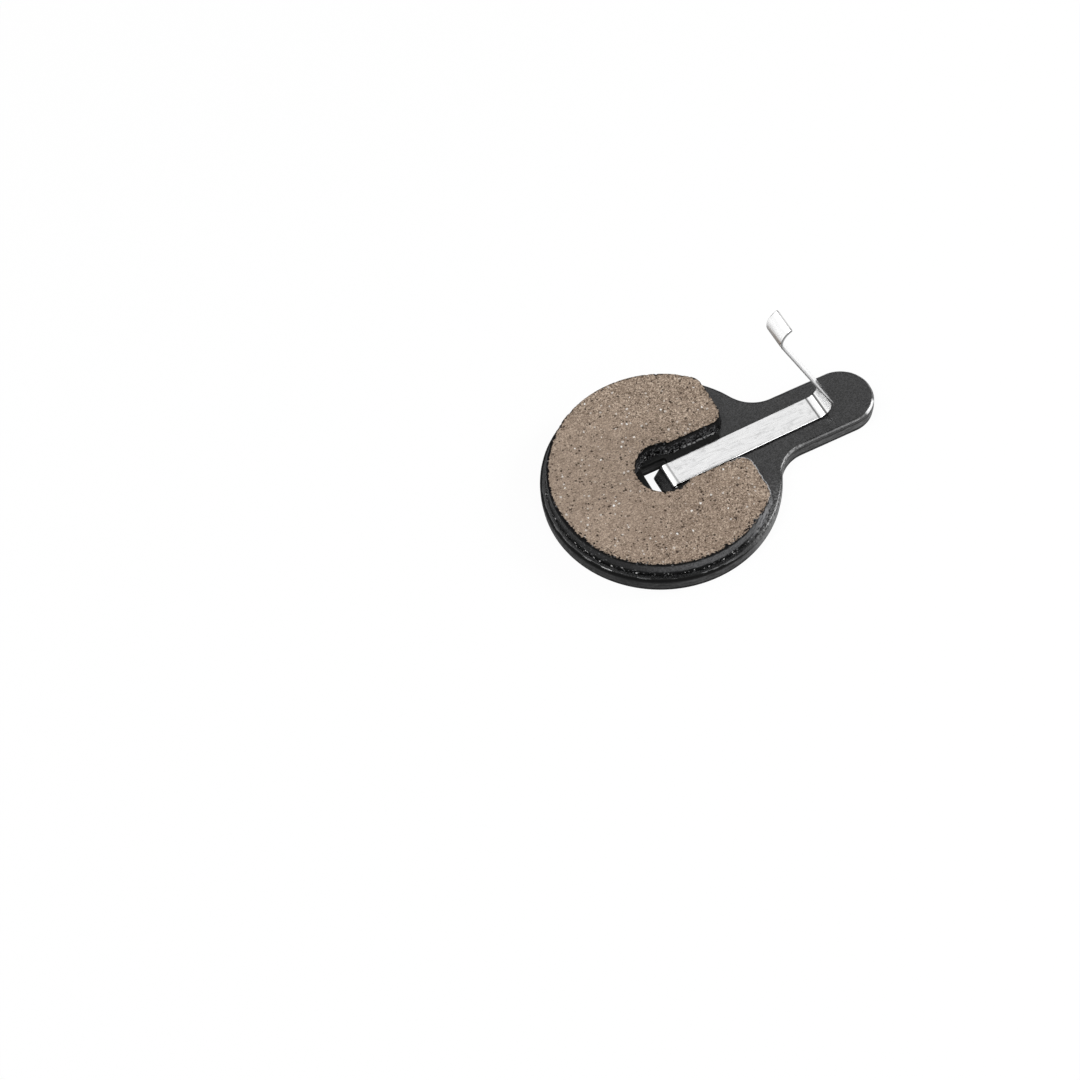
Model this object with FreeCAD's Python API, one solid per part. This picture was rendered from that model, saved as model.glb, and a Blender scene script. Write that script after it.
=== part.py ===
import FreeCAD, Part
import math
import os

from FreeCAD import Vector

# Round disc brake pad with a tail, in millimetres.
# The origin is the disc's centre on the plate's back face.
# +X runs along the tail and +Z from the back face to the friction face.

# Return spring: one strip, folded once, with a hook at each end
strip_width = 2.82
strip_thickness = 0.3
hook_angle = 60.0          # bend of the inner end, down into the plate's hole
hook_bend = 0.35           # inside radius of that bend
hook_recess = 0.3          # the hook stops this far above the back face
fold_angle = 114.2         # bend between the leg on the plate and the free leg
fold_bend = 1.16           # inside radius of the fold
free_leg = 14.3            # straight part of the free leg
tip_angle = 86.0           # bend of the free end, away from the disc
tip_bend = 1.42            # inside radius of that bend
tip_length = 0.3           # straight part of the free end
tip_corner = 0.15          # rounding of the strip's end corners
fold_inset = 5.0           # from the tail's tip to the outside of the fold

# Backing plate: a disc with a round-ended tail
plate_radius = 12.0
plate_thickness = 1.8
plate_edge_round = 0.35    # rolled edge on the friction side, left by blanking
tail_reach = 11.65         # from the disc's rim to the tail's tip
tail_width = 6.67
tail_fillet = 3.7
hole_length = 2.8          # along X, centred on the disc
hole_corner = 0.25
hole_side_clearance = 0.54  # on each side of the strip
hook_clearance = 0.42      # from the hook's bend to the hole's edge
hook_side_gap = 0.21       # the spring lies askew until its hook is this close to the hole's side

# Friction lining: a C with a keyhole slot, wider at its foot
lining_height = 1.8
lining_land = 0.75         # plate left bare round the lining
lining_flare = 0.2         # how far the foot stands out beyond the top edge
chord_cut = 3.0            # depth of the flat cut on the tail side
rim_corner = 2.0           # where the chord meets the rim
mouth_corner = 1.3         # where the chord meets the slot
slot_clearance = 0.99      # on each side of the strip
slot_y = -0.17             # the slot is moulded a little off the centre line
bulb_x = 0.35
bulb_margin = 0.5          # from the hole's corners to the slot's round end

tail_tip = plate_radius + tail_reach
hole_width = strip_width + 2 * hole_side_clearance
lining_radius = plate_radius - lining_land
slot_width = strip_width + 2 * slot_clearance
bulb_radius = math.hypot(hole_length / 2, hole_width / 2) + bulb_margin


def line(start, end):
    return Part.LineSegment(start, end).toShape()


def arc(start, middle, end):
    return Part.Arc(start, middle, end).toShape()


def mirrored(point):
    return Vector(point.x, -point.y, point.z)


def plate_outline():
    """The disc and the tail as one closed wire, with the two hollow fillets between them."""
    half = tail_width / 2
    fillet_y = half + tail_fillet
    reach = plate_radius + tail_fillet
    fillet_centre = Vector(math.sqrt(reach ** 2 - fillet_y ** 2), fillet_y, 0)
    on_disc = fillet_centre * (plate_radius / reach)
    on_tail = Vector(fillet_centre.x, half, 0)
    towards = ((on_disc - fillet_centre) + (on_tail - fillet_centre)).normalize()
    fillet_middle = fillet_centre + towards * tail_fillet
    shoulder = Vector(tail_tip - half, half, 0)
    return Part.Wire([
        line(on_tail, shoulder),
        arc(shoulder, Vector(tail_tip, 0, 0), mirrored(shoulder)),
        line(mirrored(shoulder), mirrored(on_tail)),
        arc(mirrored(on_tail), mirrored(fillet_middle), mirrored(on_disc)),
        arc(mirrored(on_disc), Vector(-plate_radius, 0, 0), on_disc),
        arc(on_disc, fillet_middle, on_tail),
    ])


def hole_cutter():
    """A rectangular punch with rounded corners, right through the plate."""
    corner = Vector(-hole_length / 2, -hole_width / 2, 0)
    punch = Part.makeBox(hole_length, hole_width, plate_thickness, corner)
    uprights = [edge for edge in punch.Edges if edge.BoundBox.ZLength > plate_thickness / 2]
    return punch.makeFillet(hole_corner, uprights)


def backing_plate():
    blank = Part.Face(plate_outline()).extrude(Vector(0, 0, plate_thickness))
    top = max(blank.Faces, key=lambda face: face.CenterOfMass.z)
    return blank.makeFillet(plate_edge_round, top.Edges).cut(hole_cutter())


def lining_half(grow, z, side):
    """Edges from the slot's round end to the rim, on one side of the slot, and their two end points."""
    radius = lining_radius + grow
    chord_x = lining_radius - chord_cut + grow
    half = slot_width / 2 - grow
    mouth = mouth_corner + grow
    corner = rim_corner + grow
    wall_y = slot_y * side + half

    def at(x, y):
        return Vector(x, y * side, z)

    def on_arc(x, y, arc_radius, angle):
        return at(x + arc_radius * math.cos(angle), y + arc_radius * math.sin(angle))

    bulb_end = at(bulb_x + math.sqrt((bulb_radius - grow) ** 2 - half ** 2), wall_y)
    mouth_x = chord_x - mouth
    mouth_y = wall_y + mouth
    corner_x = chord_x - corner
    corner_y = math.sqrt((radius - corner) ** 2 - corner_x ** 2)
    turn = math.atan2(corner_y, corner_x)
    rim_end = on_arc(0, 0, radius, turn)
    edges = [
        line(bulb_end, at(mouth_x, wall_y)),
        arc(at(mouth_x, wall_y), on_arc(mouth_x, mouth_y, mouth, -math.pi / 4), at(chord_x, mouth_y)),
        line(at(chord_x, mouth_y), at(chord_x, corner_y)),
        arc(at(chord_x, corner_y), on_arc(corner_x, corner_y, corner, turn / 2), rim_end),
    ]
    return edges, bulb_end, rim_end


def lining_outline(grow, z):
    """The lining's outline at height z, with every wall moved outwards by grow."""
    far, far_bulb, far_rim = lining_half(grow, z, 1)
    near, near_bulb, near_rim = lining_half(grow, z, -1)
    rim = arc(far_rim, Vector(-lining_radius - grow, 0, z), near_rim)
    bulb = arc(near_bulb, Vector(bulb_x - bulb_radius + grow, slot_y, z), far_bulb)
    return Part.Wire(far + [rim] + near[::-1] + [bulb])


def friction_pad():
    foot = lining_outline(lining_flare, plate_thickness)
    face = lining_outline(0, plate_thickness + lining_height)
    return Part.makeLoft([foot, face], True, True)


def strip_side(start, heading, steps, offset):
    """Edges of a bent strip's side, offset to the left of its middle line in the XZ plane.

    A step is a straight run (length, 0) or a bend (radius of the middle line, degrees, left is plus)."""
    edges = []
    point = start
    angle = math.radians(heading)

    def left(of_angle):
        return Vector(-math.sin(of_angle), 0, math.cos(of_angle))

    for size, bend in steps:
        if bend == 0:
            ahead = point + Vector(math.cos(angle), 0, math.sin(angle)) * size
            edges.append(line(point + left(angle) * offset, ahead + left(angle) * offset))
            point = ahead
            continue
        to_centre = math.copysign(size, bend)
        centre = point + left(angle) * to_centre
        turned = [angle + math.radians(bend) * share for share in (0, 0.5, 1)]
        edges.append(arc(*[centre + left(a) * (offset - to_centre) for a in turned]))
        angle = turned[-1]
        point = centre - left(angle) * to_centre
    return edges


def return_spring():
    """Hook, leg on the plate, fold, free leg and free end, swept across the strip's width."""
    half = strip_thickness / 2
    hook = math.radians(hook_angle)
    hook_radius = hook_bend + half
    level = plate_thickness + half
    hook_end_z = hook_recess + half * math.cos(hook)
    hook_run = (level - hook_radius * (1 - math.cos(hook)) - hook_end_z) / math.sin(hook)
    leg_start = hole_length / 2 - hook_clearance
    leg_end = tail_tip - fold_inset - fold_bend - strip_thickness
    hook_end_x = leg_start - hook_radius * math.sin(hook) - hook_run * math.cos(hook)
    steps = [
        (hook_run, 0),
        (hook_radius, -hook_angle),
        (leg_end - leg_start, 0),
        (fold_bend + half, fold_angle),
        (free_leg, 0),
        (tip_bend + half, -tip_angle),
        (tip_length, 0),
    ]
    start = Vector(hook_end_x, -strip_width / 2, hook_end_z)
    upper = strip_side(start, hook_angle, steps, half)
    lower = strip_side(start, hook_angle, steps, -half)
    first_cap = line(lower[0].Vertexes[0].Point, upper[0].Vertexes[0].Point)
    last_cap = line(upper[-1].Vertexes[-1].Point, lower[-1].Vertexes[-1].Point)
    section = Part.Wire(upper + [last_cap] + lower[::-1] + [first_cap])
    strip = Part.Face(section).extrude(Vector(0, strip_width, 0))
    ends = (first_cap.CenterOfMass, last_cap.CenterOfMass)
    corners = [edge for edge in strip.Edges if is_end_corner(edge, ends)]
    strip = strip.makeFillet(tip_corner, corners)
    askew = math.asin((hole_side_clearance - hook_side_gap) / (leg_end - leg_start))
    strip.rotate(Vector(leg_end, 0, 0), Vector(0, 0, 1), math.degrees(askew))
    return strip


def is_end_corner(edge, ends):
    """True for the short edges through the strip's thickness at its two ends."""
    middle = edge.CenterOfMass
    in_section = [math.hypot(middle.x - end.x, middle.z - end.z) for end in ends]
    return min(in_section) < strip_thickness / 10 and edge.Length < strip_thickness * 1.1


os.makedirs("parts", exist_ok=True)
for make in (backing_plate, friction_pad, return_spring):
    make().exportStep("parts/" + make.__name__ + ".step")
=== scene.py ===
# %% [markdown]
# # A disc brake pad
# A small brake pad is three pieces: a black painted steel plate with a tail, a brown friction
# lining moulded onto it, and a thin spring strip that hooks into the plate.
# We could paint the CAD solids as they are. A ground lining is full of pits, though, and its rim
# is chipped, so each piece is made again as a fine mesh, on the sizes of the CAD model.

# %% Load the frame
import math
import random

import bmesh
import bpy
import numpy as np
from mathutils import Matrix, Vector, noise
from mathutils.geometry import delaunay_2d_cdt
from mathutils.kdtree import KDTree


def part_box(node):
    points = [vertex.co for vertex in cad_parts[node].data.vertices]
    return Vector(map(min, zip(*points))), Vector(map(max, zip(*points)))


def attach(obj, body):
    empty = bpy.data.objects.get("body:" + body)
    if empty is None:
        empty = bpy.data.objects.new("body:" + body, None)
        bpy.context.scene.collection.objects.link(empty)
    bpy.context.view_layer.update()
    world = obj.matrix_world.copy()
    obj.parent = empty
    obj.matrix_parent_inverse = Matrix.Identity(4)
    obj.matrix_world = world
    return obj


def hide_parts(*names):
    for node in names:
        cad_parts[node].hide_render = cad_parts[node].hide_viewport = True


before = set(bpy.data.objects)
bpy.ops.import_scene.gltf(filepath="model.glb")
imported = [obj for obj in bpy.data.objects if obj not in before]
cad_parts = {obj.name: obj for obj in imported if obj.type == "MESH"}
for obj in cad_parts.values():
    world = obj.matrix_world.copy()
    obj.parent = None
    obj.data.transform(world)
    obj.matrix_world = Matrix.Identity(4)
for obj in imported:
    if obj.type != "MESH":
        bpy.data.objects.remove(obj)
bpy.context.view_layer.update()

MM = 0.001
print("nodes:", sorted(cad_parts))

# %% [markdown]
# ## The main sizes
# Everything below is in millimetres, and a mesh is turned into metres when it is made.
# The sizes that the frame can tell are read from it, so that our meshes can't drift away from it.
# Its boxes come from facets, so they are rounded to a hundredth.


# %% Read the sizes that the frame gives
def node_box(node):
    """A node's lowest and highest corners in millimetres."""
    return [[round(value / MM, 2) for value in corner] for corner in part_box(node)]


_, plate_high = node_box("backing_plate")
lining_low, lining_high = node_box("friction_pad")

PLATE_RADIUS = plate_high[1]
PLATE_TOP = plate_high[2]
TAIL_TIP = plate_high[0]
FACE_TOP = lining_high[2]
FOOT_RADIUS = -lining_low[0]
FOOT_CHORD = lining_high[0]
print("plate radius", PLATE_RADIUS, "top", PLATE_TOP, "tail tip", TAIL_TIP)
print("lining top", FACE_TOP, "foot radius", FOOT_RADIUS, "chord", FOOT_CHORD)

# %% [markdown]
# ## The camera
# The pad is seen from above and a little from its left, with a long lens, and it lies to the right
# of the picture's centre. We could turn the camera to the pad and shift the lens afterwards.
# It is simpler to aim at the point that falls in the middle of the picture, and to need no shift.

# %% Place the camera
CAMERA_AZIMUTH = -21.300  # degrees from -Y, towards +X
CAMERA_ELEVATION = 57.691
CAMERA_ROLL = -5.852
CAMERA_DISTANCE = 267.82
CAMERA_AIM = Vector((-13.370, 0.138, 0))
LENS = 90.83
SENSOR = 36


def direction(azimuth, elevation):
    """The way from the pad to something that stands at these angles."""
    a = math.radians(azimuth)
    e = math.radians(elevation)
    return Vector((math.sin(a) * math.cos(e), -math.cos(a) * math.cos(e), math.sin(e)))


def standing_at(azimuth, elevation, roll, aim, distance):
    """A matrix in metres for a camera or lamp that looks at the aim."""
    back = direction(azimuth, elevation)
    right = Vector((0, 0, 1)).cross(back).normalized()
    up = back.cross(right)
    turn = math.radians(roll)
    rolled_right = right * math.cos(turn) + up * math.sin(turn)
    rolled_up = up * math.cos(turn) - right * math.sin(turn)
    place = Matrix((rolled_right, rolled_up, back)).transposed().to_4x4()
    place.translation = (aim + back * distance) * MM
    return place


camera_data = bpy.data.cameras.new("camera")
camera_data.lens = LENS
camera_data.sensor_width = SENSOR
camera_data.clip_start = 0.01
camera = bpy.data.objects.new("camera", camera_data)
camera.matrix_world = standing_at(
    CAMERA_AZIMUTH, CAMERA_ELEVATION, CAMERA_ROLL, CAMERA_AIM, CAMERA_DISTANCE)
bpy.context.scene.collection.objects.link(camera)
bpy.context.scene.camera = camera
bpy.context.scene.view_settings.view_transform = "Standard"
print("camera at", [round(value, 4) for value in camera.matrix_world.translation])

# %% [markdown]
# ## Small helpers for node trees
# A finish is a tree of nodes. Writing out every node and link makes long code, so these short
# helpers each add one node to the tree that is being built, and hand back the socket that the next
# one needs.

# %% Add nodes in one line each
tree = None  # the node tree that is being built


def begin_tree(owner):
    """Starts on the node tree of a material or a world."""
    global tree
    owner.use_nodes = True
    tree = owner.node_tree


def new_finish(name):
    finish = bpy.data.materials.new(name)
    begin_tree(finish)
    return finish


def feed(socket, value):
    """Links another socket into this one, or sets a plain value."""
    if isinstance(value, bpy.types.NodeSocket):
        tree.links.new(value, socket)
    else:
        socket.default_value = value


def add_node(kind, *values, **settings):
    """Adds a node with these settings, and feeds its first inputs."""
    node = tree.nodes.new("ShaderNode" + kind)
    for name, setting in settings.items():
        setattr(node, name, setting)
    for socket, value in zip(node.inputs, values):
        feed(socket, value)
    return node


def calculate(operation, first, second=0.0):
    return add_node("Math", first, second, operation=operation).outputs[0]


def times(first, *others):
    for other in others:
        first = calculate("MULTIPLY", first, other)
    return first


def most(first, *others):
    for other in others:
        first = calculate("MAXIMUM", first, other)
    return first


def remap(value, low, high, to_low=0.0, to_high=1.0):
    """Takes low..high to to_low..to_high smoothly, and holds beyond the ends."""
    limits = (low, high, to_low, to_high)
    return add_node("MapRange", value, *limits, interpolation_type="SMOOTHSTEP").outputs[0]


def between(value, start, full, fade, end):
    """Rises from 0 to 1 between start and full, and falls again between fade and end."""
    return times(remap(value, start, full), remap(value, end, fade))


def as_colour(value):
    """A grey or three numbers as a colour with its alpha. A socket stays as it is."""
    if isinstance(value, float):
        value = (value, value, value)
    return (*value, 1) if isinstance(value, tuple) else value


def blend(share, first, second):
    node = add_node("Mix", share, data_type="RGBA")
    feed(node.inputs[6], as_colour(first))
    feed(node.inputs[7], as_colour(second))
    return node.outputs[2]


def layered(colour, *coats):
    """Lays coats over a colour one after the other, each by its share."""
    for share, coat in coats:
        colour = blend(share, colour, coat)
    return colour


def scaled(place, factors):
    return add_node("VectorMath", place, factors, operation="MULTIPLY").outputs[0]


def in_millimetres(stretch=(1, 1, 1)):
    """The place on the object in millimetres, so that a texture's scale is features per millimetre."""
    place = add_node("TexCoord").outputs["Object"]
    return scaled(place, [value / MM for value in stretch])


def parts(place):
    """The three coordinates of a place."""
    return tuple(add_node("SeparateXYZ", place).outputs)


def cloud(place, per_mm, detail=2.0, rough=0.5):
    node = add_node("TexNoise", place)
    for name, value in (("Scale", per_mm), ("Detail", detail), ("Roughness", rough)):
        node.inputs[name].default_value = value
    return node.outputs[0]


def relief(height, depth_mm, onto=None):
    """A bump of this depth, on top of another one where there is one."""
    node = add_node("Bump")
    node.inputs["Distance"].default_value = depth_mm * MM
    feed(node.inputs["Height"], height)
    if onto is not None:
        feed(node.inputs["Normal"], onto)
    return node.outputs[0]


def carried(name):
    """A number that the mesh carries at its points."""
    return add_node("Attribute", attribute_name=name).outputs["Fac"]


def dress(colour, roughness, normal=None, specular=0.5, metallic=0.0):
    """Feeds the shader of the finish that is being built."""
    shader = tree.nodes["Principled BSDF"]
    feed(shader.inputs["Base Color"], colour)
    feed(shader.inputs["Roughness"], roughness)
    feed(shader.inputs["Specular IOR Level"], specular)
    feed(shader.inputs["Metallic"], metallic)
    if normal is not None:
        feed(shader.inputs["Normal"], normal)
    return shader


print("node helpers ready")

# %% [markdown]
# ## Floor and surroundings
# The pad lies on a white table. A white floor in plain light comes out as pale grey, and more light
# would bleach the pad. So the world is shown as white to the camera and to reflections, and the floor
# as white to the camera and, for a small share, to reflections; both stay ordinary to the light that
# bounces. A small share of the floor's own shading is kept, which is the soft shadow.


# %% Make the floor white
def seen_directly(in_gloss=1.0):
    """1 for the camera's rays and through clear things, and this much for rays that come off shiny things."""
    path = add_node("LightPath").outputs
    gloss = times(path["Is Glossy Ray"], in_gloss)
    return most(path["Is Camera Ray"], path["Is Transmission Ray"], gloss)


FLOOR_SIZE = 3000
FLOOR_DROP = 0.02  # keeps the floor just clear of the plate's back
SHADOW_SHARE = 0.06
FLOOR_IN_GLOSS = 0.1  # the dark foot of the plate is the floor's own shadow, mirrored

bpy.ops.mesh.primitive_plane_add(size=FLOOR_SIZE * MM, location=(0, 0, -FLOOR_DROP * MM))
floor = bpy.context.object
floor.name = "floor"
floor_finish = new_finish("white_table")
mottle = cloud(in_millimetres(), 0.05)
table = dress(blend(mottle, 0.88, 0.90), 0.9, specular=0.1)
glow = add_node("Emission")
white_share = times(seen_directly(FLOOR_IN_GLOSS), 1 - SHADOW_SHARE)
whiten = add_node("MixShader", white_share, table.outputs[0], glow.outputs[0])
feed(tree.nodes["Material Output"].inputs[0], whiten.outputs[0])
floor.data.materials.append(floor_finish)
print("floor", FLOOR_SIZE, "mm wide")

# %% Make the world white
WORLD_LIGHT = 0.22
world = bpy.data.worlds.new("studio")
bpy.context.scene.world = world
begin_tree(world)
sky = tree.nodes["Background"]
sky.inputs["Color"].default_value = (1, 1, 1, 1)
brightness = calculate("ADD", times(seen_directly(), 1 - WORLD_LIGHT), WORLD_LIGHT)
feed(sky.inputs["Strength"], brightness)
print("world light", WORLD_LIGHT)

# %% [markdown]
# ## Lamps and flags
# A product photographer lights a small shiny part with soft boxes, here one above and four round
# the table, and with black cards. The cards give black outlines to edges that would otherwise
# reflect the white room. Ours are seen only in reflections, so they take no light away and hide
# nothing from other sides.

# %% Hang the soft boxes
LAMP_AIM = Vector((4, 0, 2))
LAMP_DISTANCE = 420
SOFT_BOXES = (  # name, azimuth, elevation, width, height, watts
    ("overhead_box", -20, 80, 320, 320, 0.20),
    ("key_box", 82, 34, 130, 140, 0.85),
    ("front_box", 18, 42, 150, 430, 0.54),
    ("left_box", -88, 62, 120, 120, 0.63),
    ("back_box", -138, 48, 200, 160, 0.20),
)
for name, azimuth, elevation, width, height, watts in SOFT_BOXES:
    lamp = bpy.data.lights.new(name, "AREA")
    lamp.shape = "RECTANGLE"
    lamp.size = width * MM
    lamp.size_y = height * MM
    lamp.energy = watts
    box = bpy.data.objects.new(name, lamp)
    box.matrix_world = standing_at(azimuth, elevation, 0, LAMP_AIM, LAMP_DISTANCE)
    bpy.context.scene.collection.objects.link(box)
print(len(SOFT_BOXES), "soft boxes")

# %% Stand up the cards
BLACK_CARDS = (  # name, azimuth, elevation, height of the aim, distance, width, height
    ("back_card", 170, 0, 100, 260, 520, 200),
    ("side_card", 118, 0, 100, 260, 230, 200),
    ("top_card", 85, 84, 0, 400, 260, 260),
)
card_finish = new_finish("black_card")
fibres = cloud(in_millimetres(), 0.8, 4)
dress(blend(fibres, 0.004, 0.012), 1.0, specular=0.0)
for name, azimuth, elevation, aim, distance, width, height in BLACK_CARDS:
    bpy.ops.mesh.primitive_plane_add(size=1)
    card = bpy.context.object
    card.name = name
    card.matrix_world = standing_at(azimuth, elevation, 0, Vector((0, 0, aim)), distance)
    card.scale = (width * MM, height * MM, 1)
    card.visible_camera = False
    card.visible_diffuse = False
    card.visible_transmission = False
    card.visible_shadow = False
    card.data.materials.append(card_finish)
print(len(BLACK_CARDS), "black cards")

# %% [markdown]
# ## Outlines from lines and arcs
# The plate and the lining are flat outlines with a thickness. A mesh outline could be drawn by hand,
# point by point. Here an outline is a few straight runs and arcs, as a draughtsman would draw it,
# and the points are spread along them as closely as the mesh needs.


# %% Walk along lines and arcs
def straight(start, end):
    """A run's length, and its points by their share of the way."""
    start = np.array(start, float)
    end = np.array(end, float)
    return np.linalg.norm(end - start), lambda share: start + (end - start) * share


def bend(centre, radius, first, last):
    """An arc from the first to the last angle, in degrees."""
    first = math.radians(first)
    last = math.radians(last)

    def at(share):
        angle = first + (last - first) * share
        return np.array((centre[0] + radius * math.cos(angle), centre[1] + radius * math.sin(angle)))

    return abs(last - first) * radius, at


def steps_along(runs, spacing):
    return [max(2, round(length / spacing)) for length, _ in runs]


def walk(runs, steps):
    """Points round a closed outline, with so many steps on each run."""
    return np.array([at(k / count) for (_, at), count in zip(runs, steps) for k in range(count)])


def outward(loop):
    """The unit direction out of a loop that runs anticlockwise, at each of its points."""
    along = np.roll(loop, -1, axis=0) - np.roll(loop, 1, axis=0)
    across = np.stack((along[:, 1], -along[:, 0]), axis=1)
    return across / np.linalg.norm(across, axis=1, keepdims=True)


def raised(loop, height):
    """A flat loop as points in space, at one height or one for each point."""
    heights = np.broadcast_to(np.asarray(height, float), (len(loop),))
    return np.column_stack((loop, heights))


print("outline helpers ready")

# %% [markdown]
# ## Filling and closing a mesh
# Rings of points are bridged with quads, and the flat ends are filled with triangles.
# A single many-sided face would do for a plain lid, but a pitted face needs points inside it, so
# a Delaunay fill is used for both. Every piece ends as one closed mesh.


# %% Bridge, fill and finish a piece
def inside(points, loop):
    """Which of these points lie within a closed loop, by counting crossings."""
    within = np.zeros(len(points), bool)
    x = points[:, 0]
    y = points[:, 1]
    for (x0, y0), (x1, y1) in zip(loop, np.roll(loop, -1, axis=0)):
        if y0 != y1:
            crossed = (y0 > y) != (y1 > y)
            within ^= crossed & (x < (x1 - x0) * (y - y0) / (y1 - y0) + x0)
    return within


def fill(loops, loose=()):
    """Triangles between an outer loop and the loops in it, through the loose points.

    The corners are numbered in the order of the loops, and then the loose points."""
    edges = []
    count = 0
    for loop in loops:
        edges += [(count + k, count + (k + 1) % len(loop)) for k in range(len(loop))]
        count += len(loop)
    flat = np.vstack([*loops, loose]) if len(loose) else np.vstack(loops)
    result = delaunay_2d_cdt([Vector(point) for point in flat], edges, [], 0, 1e-7)
    number = [sources[0] for sources in result[3]]
    triangles = np.array([[number[corner] for corner in face] for face in result[2]])
    middles = flat[triangles].mean(axis=1)
    keep = inside(middles, loops[0])
    for loop in loops[1:]:
        keep &= ~inside(middles, loop)
    return triangles[keep]


def bridge(first, second, count):
    """Quads between two rings of this many points that start at these numbers."""
    after = [(k + 1) % count for k in range(count)]
    return [(first + k, first + n, second + n, second + k) for k, n in enumerate(after)]


def make_piece(name, points, faces, finish, node, sharp_angle):
    mesh = bpy.data.meshes.new(name)
    mesh.from_pydata([tuple(point) for point in np.asarray(points) * MM], [], [tuple(face) for face in faces])
    mesh.materials.append(finish)
    mesh.shade_smooth()
    mesh.set_sharp_from_angle(angle=math.radians(sharp_angle))
    piece = bpy.data.objects.new(name, mesh)
    bpy.context.scene.collection.objects.link(piece)
    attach(piece, "root")
    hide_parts(node)
    edit = bmesh.new()
    edit.from_mesh(mesh)
    open_edges = sum(not edge.is_manifold for edge in edit.edges)
    volume = edit.calc_volume(signed=True) / MM ** 3
    triangles = sum(len(face.verts) - 2 for face in edit.faces)
    edit.free()
    print(name, triangles, "triangles,", open_edges, "open edges,", round(volume, 2), "cubic mm")
    return piece


def carry(piece, name, values):
    """Stores one number per point for the finish to read."""
    layer = piece.data.attributes.new(name, "FLOAT", "POINT")
    layer.data.foreach_set("value", np.asarray(values, np.float32))


def rough_at(points, per_mm, octaves=3, shift=0.0):
    """Smooth random heights, about -1 to 1, at places in space."""
    offset = Vector((shift, shift * 0.7, shift * 1.3))
    return np.array([
        noise.fractal(Vector(point) * per_mm + offset, 0.9, 2.1, octaves, noise_basis="PERLIN_ORIGINAL")
        for point in points
    ])


print("mesh helpers ready")

# %% [markdown]
# ## Black paint on steel
# The plate is dipped or sprayed satin black. Paint on a pressed part is never quite even: it has a
# faint orange peel, it is a little duller in places, and dust shows as fine pale specks. A bright line
# along the tail's rolled edge, two spots on that edge and a grey patch on the near right rim are
# painted highlights. We could paint such marks by hand onto an image. Here a speckled dark base
# takes thin coats of grey, each in a band of heights or round a spot.

# %% Mix the black paint
RIM_HIGHLIGHT_SPOT = ((7.4, -9.0, 1.0), 1.5, 3.5)  # a painted highlight on the near right rim: the spot's middle, its reach and its fade in millimetres
TIP_HIGHLIGHT_SPOT = ((22.45, -2.53, 1.7), 0.7, 0.5)  # a painted highlight on the tail's rolled edge at its tip
NECK_HIGHLIGHT_SPOT = ((12.5, -3.7, 1.7), 1.0, 1.3)  # and a fainter painted highlight at its neck


def near_spot(place, spot):
    """1 within the reach of a spot, fading to 0 beyond it."""
    middle, reach, fade = spot
    gap = add_node("VectorMath", place, middle, operation="DISTANCE").outputs["Value"]
    return remap(gap, reach, reach + fade, 1, 0)


plate_finish = new_finish("satin_black_paint")
place = in_millimetres()
x, _, z = parts(place)
speckle = cloud(place, 6.5, 2, 0.6)
dust = cloud(place, 7, 2)
mottle = cloud(place, 3.4, 3, 0.6)
# a grey patch on the near right rim: a painted highlight
rim_highlight = times(near_spot(place, RIM_HIGHLIGHT_SPOT), remap(mottle, 0.44, 0.60, 0, 0.9))
# a painted highlight along the tail's rolled edge, brighter towards its tip
line = times(between(z, 1.64, 1.70, 1.76, 1.795), remap(x, 12, 22.5, 0, 0.22),
             remap(mottle, 0.35, 0.60, 0.3, 1))
roll = between(z, 1.58, 1.62, 1.775, 1.797)
# painted highlights on the roll at the tail's neck and at its tip
neck_highlight = times(roll, near_spot(place, NECK_HIGHLIGHT_SPOT), remap(mottle, 0.40, 0.60, 0.05, 0.32))
tip = times(roll, near_spot(place, TIP_HIGHLIGHT_SPOT))
colour = layered(
    (0.001, 0.001, 0.0012),
    (remap(speckle, 0.3, 0.7), (0.034, 0.034, 0.035)),
    (remap(dust, 0.66, 0.78, 0, 0.4), 0.11),
    (rim_highlight, 0.17),
    # the painted highlights on the tail's roll
    (most(line, neck_highlight, tip), 0.70),
)
rough = remap(cloud(place, 0.35, 3), 0.3, 0.7, 0.20, 0.26)
peel = relief(cloud(place, 2.2, 2), 0.008)
dress(colour, rough, relief(cloud(place, 9, 2), 0.003, peel))
print("made", plate_finish.name)

# %% [markdown]
# ## Thin paint on the cut edge
# On the cut edge the paint is thin and dull, with streaks along the edge. A grey band halfway up,
# lighter on the tail, is a painted reflection of the floor. One material could tell edge and face apart
# by the normal, but the limit of the full paint wanders. So this is a second material, for the faces
# that we choose.

# %% Mix the thin paint
edge_finish = new_finish("thin_edge_paint")
place = in_millimetres()
x, _, z = parts(place)
streaks = cloud(in_millimetres((0.3, 0.3, 2.0)), 3, 3, 0.6)
tears = cloud(in_millimetres((1, 1, 0.25)), 5, 3, 0.6)
# a grey band halfway up the cut edge, lighter on the tail: a painted reflection of the floor
painted_side_reflection = times(between(z, 0.30, 0.60, 1.20, 1.45), remap(x, -10, 6, 0.4, 1.0),
             remap(streaks, 0.35, 0.65, 0.25, 1.0))
# the painted highlight on the near right rim, on the cut edge
rim_highlight = times(near_spot(place, RIM_HIGHLIGHT_SPOT), remap(tears, 0.35, 0.65, 0.2, 0.9))
colour = layered(
    0.002,
    (painted_side_reflection, blend(remap(x, 11, 20), (0.095, 0.095, 0.096), (0.135, 0.135, 0.136))),
    (remap(z, 1.72, 1.79), blend(tears, 0.004, 0.024)),
    (rim_highlight, 0.20),
)
dress(colour, remap(tears, 0.3, 0.7, 0.40, 0.60), relief(tears, 0.015), specular=0.08)
print("made", edge_finish.name)

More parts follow.
